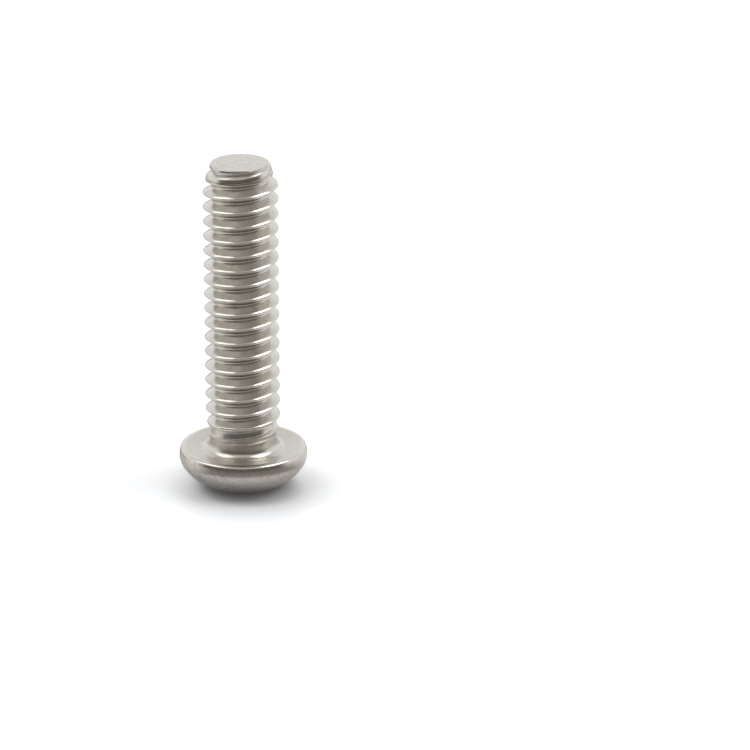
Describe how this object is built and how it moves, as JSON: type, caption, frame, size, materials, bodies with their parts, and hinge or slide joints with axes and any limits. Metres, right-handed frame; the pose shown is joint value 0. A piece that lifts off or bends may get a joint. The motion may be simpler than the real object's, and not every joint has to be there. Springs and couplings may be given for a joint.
{
  "type": "button head screw",
  "caption": "Fully threaded metal button head screw with a low domed head, hexagon socket, plain neck and tapered point.",
  "frame": {"origin": "middle of the flat top of the head, which the screw stands on", "axes": "+Z along the screw's axis, from the head to the point"},
  "size_m": [0.0108, 0.0108, 0.0283],
  "materials": {
    "stainless_steel": "plain stainless steel, bright rolled thread, fine tumbled grain on the head"
  },
  "bodies": {
    "root": {"screw": "stainless_steel"}
  },
  "joints": []
}
